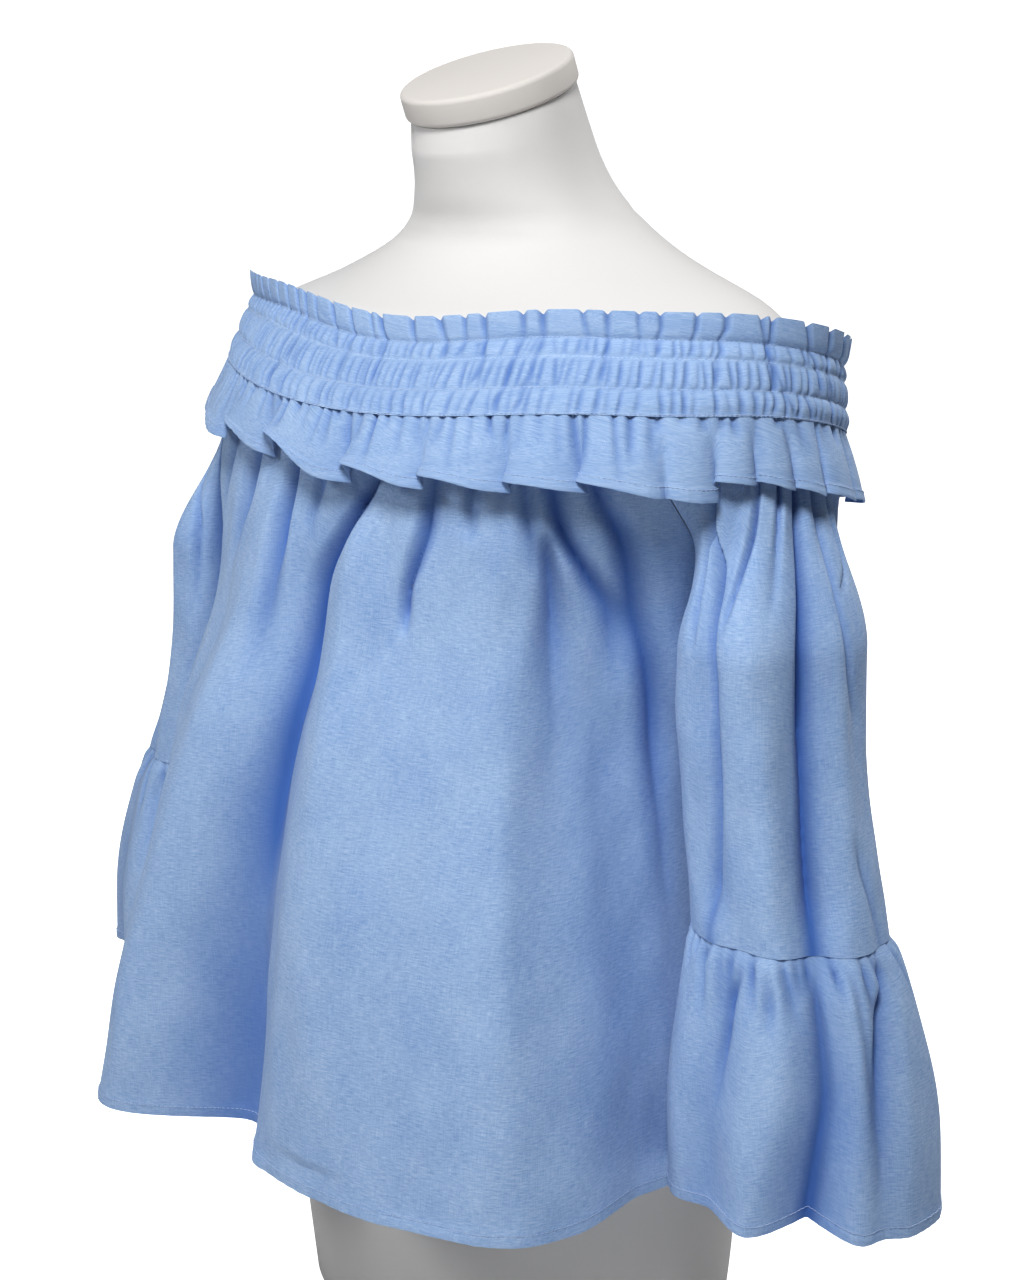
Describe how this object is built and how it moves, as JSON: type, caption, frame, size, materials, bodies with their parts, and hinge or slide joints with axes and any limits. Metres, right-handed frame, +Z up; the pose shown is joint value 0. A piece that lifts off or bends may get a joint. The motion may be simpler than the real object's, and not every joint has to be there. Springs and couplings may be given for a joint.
{
  "type": "off-shoulder top on a limbless dress form",
  "caption": "Off-shoulder top with gathered neckband, flounces and bell cuffs, worn on a limbless dress form that stands on its flat base.",
  "frame": {"origin": "middle of the dress form's flat bottom face", "axes": "+Z up, -Y to the wearer's front, +X to the wearer's left"},
  "size_m": [0.7018, 0.446, 0.8099],
  "materials": {
    "chambray": "plain-woven cotton in blue and white yarn, matt",
    "form_jersey": "stretched off-white jersey, matt",
    "form_cap": "stretched off-white cloth over a flat disc, matt"
  },
  "bodies": {
    "root": {"neckband": "chambray", "neck_flounce": "chambray", "front_panel": "chambray", "back_panel": "chambray", "sleeve_left": "chambray", "sleeve_right": "chambray", "cuff_flounce_left": "chambray", "cuff_flounce_right": "chambray", "form_torso": "form_jersey", "form_neck_cap": "form_cap"}
  },
  "joints": []
}
